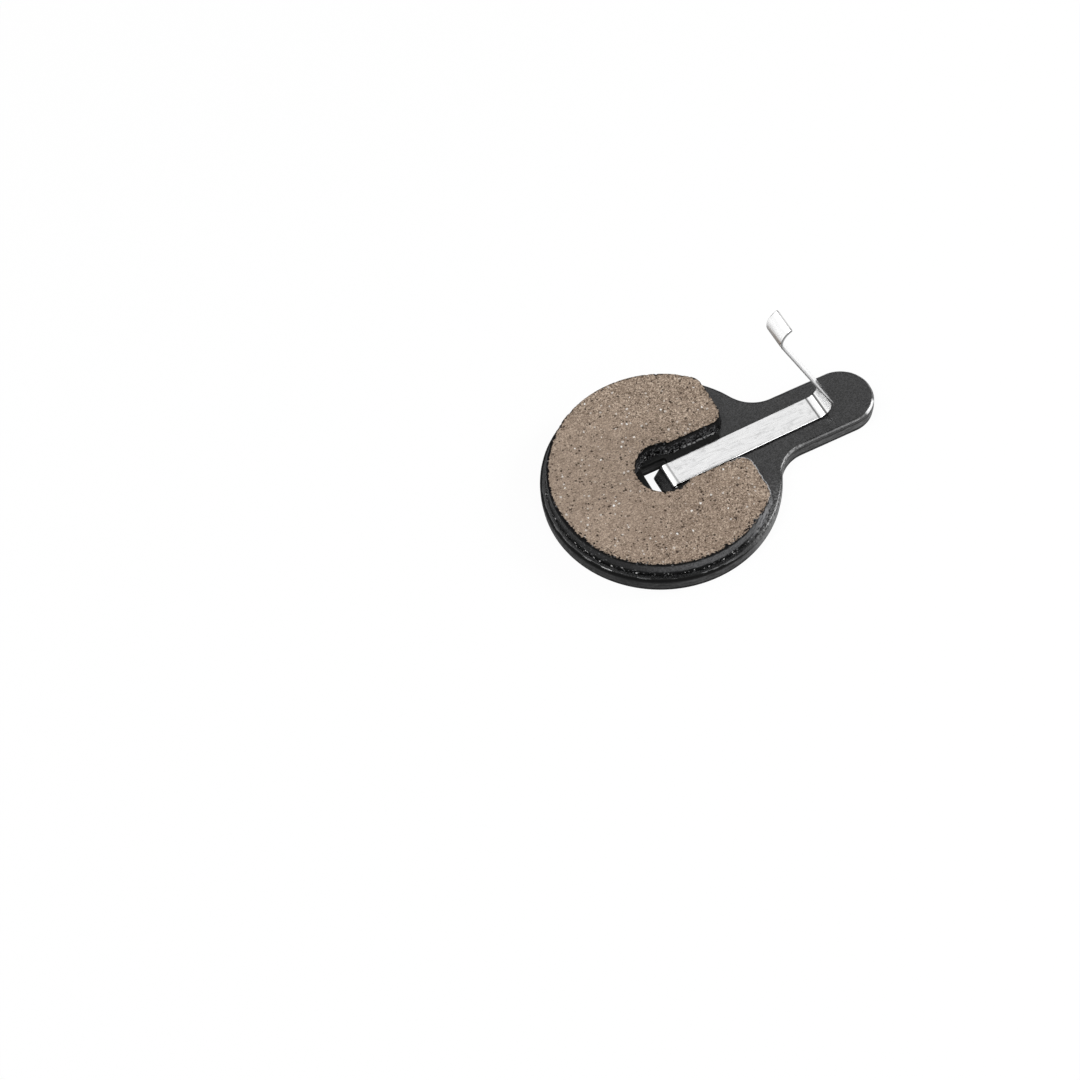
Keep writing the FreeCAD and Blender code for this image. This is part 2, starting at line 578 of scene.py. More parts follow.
# %% [markdown]
# ## The backing plate
# The plate is blanked from sheet: the punch rolls its upper edge over and leaves the lower edge
# sharp. A bevel modifier could round the edge evenly. Here the outline is carried down in rings, so that
# the roll can waver a little, as it does under paint, and its highlight breaks up. The cut edge, the
# hole and the film inside the lining's slot take the thin paint.

# %% Draw the plate's outline and its hole
TAIL_WIDTH = 6.67
TAIL_FILLET = 3.7
HOLE_LENGTH = 2.8
HOLE_WIDTH = 3.9
HOLE_CORNER = 0.25
PAINT_BEAD = 0.19  # paint that has run along the hole's near side


def plate_runs():
    """The tail's near side, round end and far side, a hollow fillet, the disc, and the other fillet."""
    half = TAIL_WIDTH / 2
    fillet_y = half + TAIL_FILLET
    fillet_x = math.sqrt((PLATE_RADIUS + TAIL_FILLET) ** 2 - fillet_y ** 2)
    turn = math.degrees(math.atan2(fillet_y, fillet_x))
    shoulder = TAIL_TIP - half
    return [
        straight((fillet_x, -half), (shoulder, -half)),
        bend((shoulder, 0), half, -90, 90),
        straight((shoulder, half), (fillet_x, half)),
        bend((fillet_x, fillet_y), TAIL_FILLET, -90, turn - 180),
        bend((0, 0), PLATE_RADIUS, turn, 360 - turn),
        bend((fillet_x, -fillet_y), TAIL_FILLET, 180 - turn, 90),
    ]


def hole_runs():
    """A rectangle with rounded corners, centred on the disc."""
    corners = []
    right = HOLE_LENGTH / 2
    far = HOLE_WIDTH / 2
    near = PAINT_BEAD - far
    for k, (x, y) in enumerate(((right, far), (-right, far), (-right, near), (right, near))):
        centre = (x - math.copysign(HOLE_CORNER, x), y - math.copysign(HOLE_CORNER, y))
        corners.append(bend(centre, HOLE_CORNER, 90 * k, 90 * k + 90))
    runs = []
    for corner, next_corner in zip(corners, corners[1:] + corners[:1]):
        runs += [corner, straight(corner[1](1), next_corner[1](0))]
    return runs


PLATE_SPACING = 0.2
HOLE_SPACING = 0.1
plate_outline = walk(plate_runs(), steps_along(plate_runs(), PLATE_SPACING))
hole_outline = walk(hole_runs(), steps_along(hole_runs(), HOLE_SPACING))
print("plate outline", len(plate_outline), "points, hole", len(hole_outline), "points")

# %% Shape the plate's edge
EDGE_ROLL = 0.35  # rolled upper edge
BACK_BREAK = 0.08  # sharper lower edge
HOLE_BREAK = 0.08
ROLL_WAVER = 0.022
TORN_HEIGHT = 0.7  # the punch shears the upper part of the edge, and the rest tears off
TORN_SLOPE = 0.07  # and slopes in by this much at the back
CLEAR_OF_FACETS = 0.006  # keeps the round mesh within the faceted CAD outline


def edge_profile(top, roll, back):
    """Inset and height of each ring, from the back face round the side to the top face."""
    quarter = [math.radians(angle) for angle in range(0, 91, 10)]
    lower = [(back * (1 - math.sin(a)), back * (1 - math.cos(a))) for a in quarter]
    upper = [(roll * (1 - math.cos(a)), top - roll * (1 - math.sin(a))) for a in quarter]
    side = [(0, back + (top - roll - back) * share) for share in (0.2, 0.4, 0.5, 0.6, 0.8)]
    return lower + side + upper


def torn_back(height):
    """How far the torn part of the edge leans in at a height."""
    return TORN_SLOPE * max(0.0, 1 - height / TORN_HEIGHT)


plate_rings = edge_profile(PLATE_TOP, EDGE_ROLL, BACK_BREAK)
hole_rings = edge_profile(PLATE_TOP, HOLE_BREAK, BACK_BREAK)
print(len(plate_rings), "rings round the plate and", len(hole_rings), "round the hole")


# %% Spread points over a face
def finder_for(spots):
    """Finds the spots that lie nearest to a place."""
    finder = KDTree(len(spots))
    for k, (x, y) in enumerate(spots):
        finder.insert((x, y, 0), k)
    finder.balance()
    return finder


def scattered(loop, spacing, seed, clear):
    """Jittered points of a triangular grid inside a loop, this far clear of it, and how far each is."""
    draw = random.Random(seed)
    low = loop.min(axis=0)
    high = loop.max(axis=0)
    rise = spacing * math.sqrt(3) / 2
    points = []
    for row in range(int((high[1] - low[1]) / rise) + 1):
        for column in range(int((high[0] - low[0]) / spacing) + 1):
            x = low[0] + (column + row % 2 / 2) * spacing + draw.uniform(-JITTER, JITTER) * spacing
            y = low[1] + row * rise + draw.uniform(-JITTER, JITTER) * spacing
            points.append((x, y))
    points = np.array(points)
    points = points[inside(points, loop)]
    border = finder_for(loop)
    away = np.array([border.find((x, y, 0))[2] for x, y in points])
    return points[away > clear], away[away > clear]


FACE_SPACING = 0.9
JITTER = 0.22
print("points on the plate's faces stand", FACE_SPACING, "mm apart")

# %% Carry the outline down in rings and close the plate
FILM_END = 7.4  # a dull black film covers the plate inside the lining's slot, up to here
MOUTH_HALF = 3  # and ends at a straight line of points
MOUTH_SPACING = 0.25
MOUTH_CLEAR = 0.35
HOLE_CLEAR = 1.2  # no loose points within this many times the hole

out = outward(plate_outline)
hole_out = outward(hole_outline)
waver = rough_at(raised(plate_outline, 0), 0.9, 3) * ROLL_WAVER
points = []
faces = []
starts = []
for inset, height in plate_rings:
    share = max(0.0, (height - PLATE_TOP + 2 * EDGE_ROLL) / (2 * EDGE_ROLL))
    moved = inset + share * (waver + ROLL_WAVER) + torn_back(height) + CLEAR_OF_FACETS
    starts.append(len(points))
    points += raised(plate_outline - out * moved[:, None], height).tolist()
count = len(plate_outline)
for first, second in zip(starts, starts[1:]):
    faces += bridge(first, second, count)
hole_starts = []
for inset, height in hole_rings:
    hole_starts.append(len(points))
    points += raised(hole_outline + hole_out * inset, height).tolist()
for first, second in zip(hole_starts, hole_starts[1:]):
    faces += bridge(second, first, len(hole_outline))
for outer, inner, flip in ((starts[0], hole_starts[0], True), (starts[-1], hole_starts[-1], False)):
    rim = np.array(points[outer:outer + count])[:, :2]
    gap = np.array(points[inner:inner + len(hole_outline)])[:, :2]
    spread, _ = scattered(rim, FACE_SPACING, 3, FACE_SPACING * 0.6)
    spread = spread[~inside(spread, gap * HOLE_CLEAR)]
    mouth = [(FILM_END, y) for y in np.arange(-MOUTH_HALF, MOUTH_HALF + 0.1, MOUTH_SPACING)]
    spread = np.vstack([spread[np.abs(spread[:, 0] - FILM_END) > MOUTH_CLEAR], mouth])
    number = [*range(outer, outer + count), *range(inner, inner + len(gap))]
    number += range(len(points), len(points) + len(spread))
    height = points[outer][2]
    for corners in fill([rim, gap], spread):
        triangle = [number[corner] for corner in corners]
        faces.append(triangle[::-1] if flip else triangle)
    points += raised(spread, height).tolist()
plate = make_piece("painted_plate", points, faces, plate_finish, "backing_plate", 35)

# %% Choose the faces that take the thin paint
PAINT_LIMIT = 1.42  # the full paint comes down over the roll to here
PAINT_SHORT = 0.35  # and stops this much higher on the side away from the tail
SHORT_FROM = 7  # which starts here along X
SHORT_OVER = 8  # and is complete after this length
LIMIT_WAVER = 0.14
FILM_START = -3
FILM_HALF = 2.8  # half the film's width
FLAT_NORMAL = 0.95  # faces that look up or down more than this belong to the flat sides


def held(value):
    """Keeps a share between 0 and 1."""
    return min(1.0, max(0.0, value))


def paint_limit(x, y):
    """How far down the full paint reaches at a place on the rim."""
    away = held((SHORT_FROM - x) / SHORT_OVER)
    waver = noise.noise(Vector((x, y, 0)) * 1.1) * LIMIT_WAVER
    return PAINT_LIMIT + PAINT_SHORT * away + waver * away


plate.data.materials.append(edge_finish)
for face in plate.data.polygons:
    x, y, z = face.center / MM
    in_hole = math.hypot(x, y) < HOLE_WIDTH
    in_slot = FILM_START < x < FILM_END and abs(y) < FILM_HALF and z > PLATE_TOP / 2
    on_edge = abs(face.normal.z) < FLAT_NORMAL and (in_hole or z < paint_limit(x, y))
    face.material_index = int(on_edge or in_slot)
print(sum(face.material_index for face in plate.data.polygons), "faces with the thin paint")

# %% [markdown]
# ## The friction lining's finish
# The lining is a pressed mix of resin, mineral and metal grains. After painting, its face is ground
# flat: the paint stays on the walls, and the face shows pale brown with pits, grain and bright metal.
# An image could show all that from above, but not round the walls. So the finish is mixed from
# patterns in space, and the mesh carries two numbers for it: the distance in from the rim, which the
# paint's ragged limit follows, and a painted shade that darkens the pits.


# %% Scatter grains
def cell_pattern(place, per_mm):
    """Distance to the nearest grain's middle, and three random numbers for that grain."""
    cells = add_node("TexVoronoi", place)
    cells.inputs["Scale"].default_value = per_mm
    return cells.outputs["Distance"], add_node("SeparateColor", cells.outputs["Color"]).outputs


def shaken(place, per_mm, reach):
    """Places moved a little at random, so that round grains become irregular."""
    shake = add_node("TexNoise", place)
    shake.inputs["Scale"].default_value = per_mm
    reaches = (reach, reach, reach)
    return add_node("VectorMath", shake.outputs["Color"], reaches, place, operation="MULTIPLY_ADD").outputs[0]


def grain_shade(place, per_mm):
    """One random shade for each grain of the pressed mix."""
    return cell_pattern(place, per_mm)[1][0]


def scattered_grains(place, per_mm, rare, smallest, largest):
    """1 on small grains, the middles of some cells, and how bright each is."""
    distance, chance = cell_pattern(shaken(place, 2 * per_mm, 0.5 / per_mm), per_mm)
    chosen = calculate("GREATER_THAN", chance[0], rare)
    size = remap(chance[1], 0, 1, smallest, largest)
    return times(chosen, calculate("LESS_THAN", distance, size)), chance[2]


print("grain helpers ready")

# %% Mix the ground face
SMOOTH_FACE = ((-8.0, 1.0, 3.6), 4.0, 9.0)  # a stretch that is ground finer and lighter
COARSE_FACE = ((-1.0, -9.0, 3.6), 4.0, 6.0)  # and one that is coarser and darker

lining_finish = new_finish("ground_lining_mix")
place = in_millimetres()
rim = carried("rim")
grain = cloud(place, 4.8, 3, 0.7)
large = grain_shade(place, 5.5)
small = grain_shade(place, 10.5)
shade = calculate("ADD", times(large, 0.2), times(small, 0.8))
broad = cloud(place, 0.3, 2)
patches = cloud(place, 1.5, 3, 0.6)
dot, dot_shade = scattered_grains(place, 3.0, 0.52, 0.10, 0.36)
dot = times(dot, remap(dot_shade, 0, 1, 0.25, 0.95))
speck, _ = scattered_grains(place, 3.7, 0.35, 0.08, 0.40)
speck = times(speck, remap(rim, 0.15, 0.7, 0.9, 0))
brown = layered(
    (0.088, 0.063, 0.046),
    (remap(shade, 0.05, 0.55), (0.290, 0.223, 0.170)),
    (remap(shade, 0.60, 0.92), (0.560, 0.455, 0.362)),
    (remap(broad, 0.35, 0.65, 0, 0.15), (0.270, 0.204, 0.153)),
    (times(near_spot(place, SMOOTH_FACE), 0.42), (0.325, 0.253, 0.199)),
    (times(near_spot(place, COARSE_FACE), 0.16), (0.165, 0.116, 0.088)),
    (remap(patches, 0.36, 0.50, 0.28, 0), (0.165, 0.120, 0.090)),
    (remap(patches, 0.52, 0.66, 0, 0.22), (0.400, 0.318, 0.250)),
    # painted shade in the pits
    (remap(carried("pit"), 0.05, 0.8, 0, 0.9), (0.040, 0.028, 0.022)),
    (most(dot, speck), (0.045, 0.032, 0.025)),
)
print("mixed the ground face of", lining_finish.name)

# %% Find where the paint stops
WIDE_PAINT = ((-10.5, 3.0, 3.6), 5.0, 4.0)  # away from the tail the paint comes further onto the face
TORN_PAINT = (  # two stretches of the rim where its limit is ragged
    ((-9.6, -5.4, 3.6), 3.5, 2.5),
    ((3.0, -10.6, 3.6), 2.5, 2.5),
)
wide = near_spot(place, WIDE_PAINT)
ragged = remap(cloud(place, 3.6, 4, 0.75), 0.3, 0.7, -0.26, 0.22)
ragged = times(ragged, remap(wide, 0, 1, 1, 0.35))
torn = most(*[near_spot(place, spot) for spot in TORN_PAINT])
teeth = times(torn, remap(cloud(place, 2.7, 2, 0.6), 0.50, 0.66, 0, 0.36))
limit = calculate("SUBTRACT", ragged, times(wide, 0.20))
limit = calculate("SUBTRACT", limit, teeth)
painted = remap(calculate("ADD", rim, limit), -0.03, 0.05, 1, 0)
painted = most(painted, remap(rim, -0.02, -0.10))
print("the paint reaches over the rim in", 1 + len(TORN_PAINT), "stretches")

# %% Mix the paint on the walls
x, y, _ = parts(place)
in_slot = times(remap(calculate("ABSOLUTE", y), 2.9, 3.2, 1, 0), remap(x, -5, -4))
# a grey band halfway down the walls: a painted reflection, lighter towards +X on the key lamp's side, with
# painted shade in the slot
thin = times(between(rim, -0.25, -0.50, -1.10, -1.35), remap(x, -9, -1, 0.2, 1),
             remap(in_slot, 0, 1, 1, 0.12), remap(grain, 0.35, 0.65, 0.30, 0.64))
# light flecks on the walls: painted glints
painted_wall_glints = remap(large, 0.93, 0.97, 0, 0.4)
scuffs = cloud(place, 1.8, 3, 0.65)
# the painted highlight on the near right rim, on the lining's wall
rubbed = times(near_spot(place, RIM_HIGHLIGHT_SPOT), remap(scuffs, 0.42, 0.58, 0.05, 1.2))
# grey swirls on the slot's walls: painted highlights
from_half = calculate("ABSOLUTE", calculate("SUBTRACT", scuffs, 0.5))
slot_wall_highlights = times(in_slot, remap(from_half, 0.0, 0.05, 1.0, 0), remap(rim, -0.45, -0.70),
               remap(grain, 0.40, 0.54, 0.25, 1), remap(x, 7.6, 7.0))
# a light streak along the foot of the slot's far wall: a painted highlight
foot_highlight = times(in_slot, remap(scuffs, 0.46, 0.54, 0, 0.9), remap(rim, -1.45, -1.62),
               between(x, 1, 3, 7.0, 7.6))
# light grains at the lining's foot, where the paint has chipped, coloured bright as painted glints
chip, glint_brightness = scattered_grains(place, 3.8, 0.44, 0.08, 0.40)
black = layered(
    (0.003, 0.003, 0.0032),
    (most(thin, painted_wall_glints, rubbed, slot_wall_highlights), (0.200, 0.200, 0.205)),
    (foot_highlight, 0.55),
    (times(chip, remap(rim, -1.2, -1.4)), blend(glint_brightness, 0.05, (0.75, 0.74, 0.73))),
)
print("mixed the paint on its walls")

# %% Put the lining's finish together
CHORD_HIGHLIGHT_SPOT = ((8.0, -5.2, 3.6), 2.3, 1.2)  # a painted highlight along the rim's edge at the flat cut here
metal, shine = scattered_grains(place, 2.4, 0.60, 0.05, 0.30)
metal = times(metal, remap(rim, 0.05, 0.25))
bright = layered(
    (0.43, 0.37, 0.31),
    (remap(shine, 0.5, 0.9), (0.60, 0.56, 0.52)),
    (remap(shine, 0.90, 0.95), (0.92, 0.90, 0.87)),
)
# a light line along the rim at the flat cut: a painted highlight
painted_edge_line = times(between(rim, -0.08, -0.02, 0.03, 0.13), near_spot(place, CHORD_HIGHLIGHT_SPOT),
             remap(grain, 0.35, 0.55, 0.2, 0.9))
colour = layered(
    brown,
    (metal, bright),
    (painted, black),
    (painted_edge_line, (0.44, 0.45, 0.47)),
)
mirror = times(metal, remap(shine, 0.70, 0.76))
gloss = remap(rim, -0.45, -0.20, 0.24, 0.70)
dull = remap(painted, 0, 1, 0.82, gloss)
rough = calculate("SUBTRACT", dull, times(mirror, 0.5))
bumps = relief(cloud(place, 10, 2, 0.5), 0.012, relief(grain, 0.03))
dress(colour, rough, bumps, specular=0.06, metallic=mirror)
print("made", lining_finish.name)

# %% [markdown]
# ## The friction lining
# The lining is a C with a keyhole slot, and its walls lean out towards the plate, so that it leaves the
# mould. Its face could be a flat lid with a bump, but a bump can't break the outline of the rim. So
# the face is a dense fill of points which real pits are pressed into, and the rim has real chips.

# %% Draw the lining's outline
FLARE = 0.2  # how far the foot stands out beyond the face
RIM_CORNER = 2.0
MOUTH_CORNER = 1.3
SLOT_WIDTH = 4.8
SLOT_Y = -0.17
BULB_X = 0.35
BULB_MARGIN = 0.5  # from the hole's corners to the slot's round end
BULB_RADIUS = math.hypot(HOLE_LENGTH / 2, HOLE_WIDTH / 2) + BULB_MARGIN


def lining_side(grow, side):
    """Runs from the slot's round end to the rim for one side, drawn as if it were the far one."""
    radius = FOOT_RADIUS - FLARE + grow
    chord = FOOT_CHORD - FLARE + grow
    half = SLOT_WIDTH / 2 - grow
    mouth = MOUTH_CORNER + grow
    corner = RIM_CORNER + grow
    wall = SLOT_Y * side + half
    bulb_end = BULB_X + math.sqrt((BULB_RADIUS - grow) ** 2 - half ** 2)
    corner_x = chord - corner
    corner_y = math.sqrt((radius - corner) ** 2 - corner_x ** 2)
    turn = math.degrees(math.atan2(corner_y, corner_x))
    runs = [
        straight((bulb_end, wall), (chord - mouth, wall)),
        bend((chord - mouth, wall + mouth), mouth, -90, 0),
        straight((chord, wall + mouth), (chord, corner_y)),
        bend((corner_x, corner_y), corner, 0, turn),
    ]
    return runs, turn


def mirrored_back(runs):
    """The same runs on the near side of the slot, walked the other way."""
    def turned(at):
        return lambda share: at(1 - share) * np.array((1, -1))
    return [(length, turned(at)) for length, at in reversed(runs)]


def lining_runs(grow):
    far, far_turn = lining_side(grow, 1)
    near, near_turn = lining_side(grow, -1)
    half = SLOT_WIDTH / 2 - grow
    open_angle = math.degrees(math.asin(half / (BULB_RADIUS - grow)))
    rim = bend((0, 0), FOOT_RADIUS - FLARE + grow, far_turn, 360 - near_turn)
    bulb = bend((BULB_X, SLOT_Y), BULB_RADIUS - grow, 360 - open_angle, open_angle)
    return far + [rim] + mirrored_back(near) + [bulb]


GRAIN_SPACING = 0.085
lining_steps = steps_along(lining_runs(0), GRAIN_SPACING)
face_outline = walk(lining_runs(0), lining_steps)
print("lining outline", len(face_outline), "points")

# %% Chip the rim
CHIPS = 70
CHIP_REACH = (0.12, 0.40)
CHIP_DEPTH = (0.02, 0.07)
draw = random.Random(21)

chips = np.zeros(len(face_outline))
order = np.arange(len(face_outline))
for _ in range(CHIPS):
    middle = draw.randrange(len(face_outline))
    reach = draw.uniform(*CHIP_REACH) / GRAIN_SPACING
    depth = draw.uniform(*CHIP_DEPTH)
    away = np.abs((order - middle + len(order) / 2) % len(order) - len(order) / 2)
    chips = np.maximum(chips, depth * np.clip(1 - (away / reach) ** 2, 0, 1))
face_rim = face_outline - outward(face_outline) * chips[:, None]
print(CHIPS, "chips, the deepest", round(chips.max(), 3), "mm")

# %% Press pits into the face
PITS = 900
PIT_RADII = (0.07, 0.08, 0.09, 0.10, 0.12, 0.15)

face_spots, rim_distance = scattered(face_rim, GRAIN_SPACING, 5, GRAIN_SPACING * 0.55)
finder = finder_for(face_spots)
pit_depth = np.zeros(len(face_spots))
# how much painted shade darkens each point in a pit
pit_painted_shade = np.zeros(len(face_spots))
for _ in range(PITS):
    x, y = face_spots[draw.randrange(len(face_spots))]
    radius = draw.choice(PIT_RADII)
    deepest = radius * draw.uniform(0.3, 0.6)
    shade = draw.uniform(0.3, 1.0)
    stretch = draw.uniform(0.6, 1.0)
    turn = draw.uniform(0, math.pi)
    for place, k, _ in finder.find_range((x, y, 0), radius):
        along = (place.x - x) * math.cos(turn) + (place.y - y) * math.sin(turn)
        across = (place.y - y) * math.cos(turn) - (place.x - x) * math.sin(turn)
        share = 1 - (along / radius) ** 2 - (across / (radius * stretch)) ** 2
        if share > 0:
            pit_depth[k] = max(pit_depth[k], deepest * share)
            pit_painted_shade[k] = max(pit_painted_shade[k], shade * min(1, 1.6 * share))
print(len(face_spots), "points on the face,", PITS, "pits, the deepest", round(pit_depth.max(), 3), "mm")

# %% Build the lining
FACE_GRAIN = 0.010  # height of the ground face's grain
FACE_DROP = 0.012  # keeps that grain below the CAD face
RIM_DROP = 0.02
CHIP_HEIGHT = 0.3  # how far down the wall a chip reaches
WALL_ROUGH = 0.05
WALL_DROP = 0.01
FOOT_LUMPS = 0.12
WALL_ROWS = (0.04, 0.09, 0.16, 0.25, 0.36, 0.5, 0.65, 0.82, 1.0,
             1.15, 1.28, 1.4, 1.5, 1.58, 1.66, 1.73, 1.8)

# The face comes first, then the rows of the wall downwards, then the flat foot.
count = len(face_rim)
height = FACE_TOP - PLATE_TOP
grain = (rough_at(raised(face_spots, 0), 3.0, 3) - 0.6) * FACE_GRAIN
top = raised(face_rim, FACE_TOP - RIM_DROP - chips * 0.5)
face = raised(face_spots, FACE_TOP - FACE_DROP + np.minimum(grain, FACE_DROP) - pit_depth)
points = [top, face]
faces = [tuple(corners) for corners in fill([face_rim], face_spots)]
rim = [np.zeros(count), rim_distance]
above = 0
start = count + len(face)
for depth in WALL_ROWS:
    loop = walk(lining_runs(FLARE * depth / height), lining_steps)
    out = outward(loop)
    space = raised(loop, FACE_TOP - depth)
    rough = rough_at(space, 2.4, 4) * WALL_ROUGH * min(1, 4 * depth / height)
    lumps = np.maximum(0, rough_at(space, 2.6, 3, 11)) * FOOT_LUMPS * max(0, 4 * depth / height - 3)
    chipped = chips * max(0.0, 1 - depth / CHIP_HEIGHT)
    ring = loop + out * (rough - WALL_DROP + lumps - chipped)[:, None]
    points.append(raised(ring, FACE_TOP - depth))
    rim.append(np.full(count, -depth))
    faces += bridge(start, above, count)
    above = start
    start += count
foot = fill([points[-1][:, :2]])
faces += [tuple(above + corner for corner in corners[::-1]) for corners in foot]
points = np.vstack(points)
lining = make_piece("ground_lining", points, faces, lining_finish, "friction_pad", 60)
carry(lining, "rim", np.concatenate(rim))
# the painted shade in the pits, for the points of the face
dark = np.zeros(len(points))
dark[len(face_rim):len(face_rim) + len(face_spots)] = pit_painted_shade
carry(lining, "pit", dark)

# %% [markdown]
# ## Spring steel
# The spring is bright rolled strip. Rolling leaves fine lines along the strip, also round the bends,
# so the finish can't use the plain place in space. The mesh carries a map of how
# far along and how far across the strip each point is, and the lines follow that.

# %% Mix the spring steel
SCORE_TILT = 7  # degrees between the rolling lines and the later scratches
spring_finish = new_finish("rolled_spring_steel")
strip = add_node("UVMap", uv_map="strip").outputs[0]
lines = cloud(scaled(strip, (0.25, 9.0, 1.0)), 1.0, 3, 0.6)
smears = cloud(scaled(strip, (0.5, 2.0, 1.0)), 1.0, 4, 0.7)
tilted = add_node("Mapping", strip)
tilted.inputs["Rotation"].default_value = (0, 0, math.radians(SCORE_TILT))
scores = cloud(scaled(tilted.outputs[0], (0.45, 4.0, 1.0)), 1.0, 3, 0.6)
specks = remap(cloud(in_millimetres(), 8, 2), 0.35, 0.65, 0, 0.22)
smudge = remap(cloud(in_millimetres(), 1.3, 4, 0.7), 0.52, 0.66, 0, 0.70)
rubbed = carried("rubbed")
dull = layered(
    (0.80, 0.80, 0.805),
    (remap(smears, 0.3, 0.7), 0.92),
    (most(specks, smudge), 0.62),
)
silver = layered(
    0.95,
    (rubbed, dull),
    (times(rubbed, remap(lines, 0.60, 0.68, 0, 0.6)), 0.42),
    (times(rubbed, remap(scores, 0.55, 0.64, 0, 0.30)), 0.50),
    # dark lines at the bends and on the free end's outer bend: painted shade
    (carried("painted_bend_shade"), 0.08),
)
rough = most(remap(smears, 0.3, 0.7, 0.14, 0.22), carried("stretched"))
dress(silver, rough, relief(lines, 0.001), metallic=1.0)
print("made", spring_finish.name)

# %% [markdown]
# ## The strip's sheared edge
# The strip is slit from a wider one, so its sides and ends are sheared and duller than the rolled
# faces. A dark line along the edges is painted shade, and so is the dark low down where the strip
# lies on the plate. A thin edge could share the first material, but its dark line is what draws the
# strip's outline, so it gets a finish of its own.

# %% Mix the sheared steel
# the painted shadow on the strip's sides fades out above this height
PAINTED_SHADOW_HEIGHT = 2.2
sheared_finish = new_finish("sheared_spring_steel")
_, _, z = parts(in_millimetres())
lines = cloud(in_millimetres((0.6, 1, 0.6)), 7, 3, 0.6)
colour = layered(
    (0.50, 0.50, 0.505),
    (remap(lines, 0.3, 0.7), 0.74),
    (remap(z, 16.0, 17.5, 0, 0.9), 0.36),
    # a painted dark line along the edges, standing in for shade
    (carried("painted_edge_line"), 0.24),
    # painted shadow on the sides low down, where the strip lies on the plate
    (remap(z, PAINTED_SHADOW_HEIGHT, PAINTED_SHADOW_HEIGHT + 0.6, 1, 0), 0.03),
)
dress(colour, remap(lines, 0.3, 0.7, 0.18, 0.28), relief(lines, 0.004), metallic=1.0)
print("made", sheared_finish.name)

# %% [markdown]
# ## The return spring
# The spring is one strip: a hook in the plate's hole, a leg on the plate, a fold, a free leg
# and a bent end. A curve with a bevel would twist in the bends, so the strip is a
# rounded section that is carried along straight runs and bends, with close steps in the bends.

# %% Lay out the strip's middle line
STRIP_WIDTH = 2.82
STRIP_THICKNESS = 0.3
HOOK_ANGLE = 60.0
HOOK_BEND = 0.35
HOOK_RECESS = 0.3
FOLD_ANGLE = 114.2
FOLD_BEND = 1.16
FREE_LEG = 14.3
TIP_ANGLE = 86.0
TIP_BEND = 1.42
TIP_LENGTH = 0.3
FOLD_INSET = 5.0
HOOK_CLEARANCE = 0.42
HOOK_SHIFT = 0.33  # how far the hook has swung towards the hole's near side
RUN_STEP = 0.3
BEND_STEP = 3.0  # degrees

half = STRIP_THICKNESS / 2
hook = math.radians(HOOK_ANGLE)
hook_radius = HOOK_BEND + half
level = PLATE_TOP + half
hook_end = HOOK_RECESS + half * math.cos(hook)
hook_run = (level - hook_radius * (1 - math.cos(hook)) - hook_end) / math.sin(hook)
leg_start = HOLE_LENGTH / 2 - HOOK_CLEARANCE
leg_end = TAIL_TIP - FOLD_INSET - FOLD_BEND - STRIP_THICKNESS
x = leg_start - hook_radius * math.sin(hook) - hook_run * math.cos(hook)
z = hook_end
heading = HOOK_ANGLE
length = 0.0
stations = [(x, z, heading, length)]  # the heading in degrees, and the length so far
moves = [
    (hook_run, 0),
    (hook_radius, -HOOK_ANGLE),
    (leg_end - leg_start, 0),
    (FOLD_BEND + half, FOLD_ANGLE),
    (FREE_LEG, 0),
    (TIP_BEND + half, -TIP_ANGLE),
    (TIP_LENGTH, 0),
]
for size, angle in moves:
    count = math.ceil(abs(angle) / BEND_STEP) if angle else math.ceil(size / RUN_STEP)
    for _ in range(count):
        turn = angle / count
        stride = 2 * size * math.sin(math.radians(abs(turn)) / 2) if angle else size / count
        aim = math.radians(heading + turn / 2)
        x += stride * math.cos(aim)
        z += stride * math.sin(aim)
        heading += turn
        length += math.radians(abs(turn)) * size if angle else stride
        stations.append((x, z, heading, length))
hook_length = hook_run + hook_radius * hook
bend_starts = (hook_length, hook_length + leg_end - leg_start)
askew = math.asin(HOOK_SHIFT / (leg_end - leg_start))
print(len(stations), "stations,", round(stations[-1][3], 2), "mm long, askew", round(math.degrees(askew), 2))

# %% Draw the strip's section
EDGE_ROUND = 0.12
END_CORNER = 0.15
EDGE_STEPS = 4
WIDTH_STEPS = 8


def strip_section(width):
    """Across and up for each point of the strip's rounded section, anticlockwise seen along it."""
    half_width = width / 2 - EDGE_ROUND
    half_up = STRIP_THICKNESS / 2 - EDGE_ROUND
    section = []
    for quarter, (across, up) in enumerate(((1, 1), (-1, 1), (-1, -1), (1, -1))):
        for k in range(EDGE_STEPS + 1):
            angle = math.radians(90 * (quarter + k / EDGE_STEPS))
            section.append((across * half_width + EDGE_ROUND * math.cos(angle),
                            up * half_up + EDGE_ROUND * math.sin(angle)))
        if quarter % 2 == 0:
            for k in range(1, WIDTH_STEPS):
                share = 1 - 2 * k / WIDTH_STEPS
                section.append((across * half_width * share, across * (half_up + EDGE_ROUND)))
    return section


def width_near_end(distance):
    """The strip is narrower within its rounded end corners."""
    if distance >= END_CORNER:
        return STRIP_WIDTH
    short = END_CORNER - distance
    return STRIP_WIDTH - 2 * (END_CORNER - math.sqrt(END_CORNER ** 2 - short ** 2))


count = len(strip_section(STRIP_WIDTH))
print(count, "points round the strip")

# %% Place the tool marks and the close stations
MARK_OFFSET = 0.15  # from the start of a bend to the mark beside it
MARK_HALVES = (0.13, 0.13, 0.19)
MARK_SHADES = (0.5, 0.8, 1.0)  # beside the hook, before the fold and in the fold; how dark each mark's painted shade is
CREASE_TURN = 33.0  # the fold has a crease where it has turned this far
STRETCHED_AT = 62  # heading in a bend where the steel is stretched most
TIP_PAINTED_SHADE = 0.75


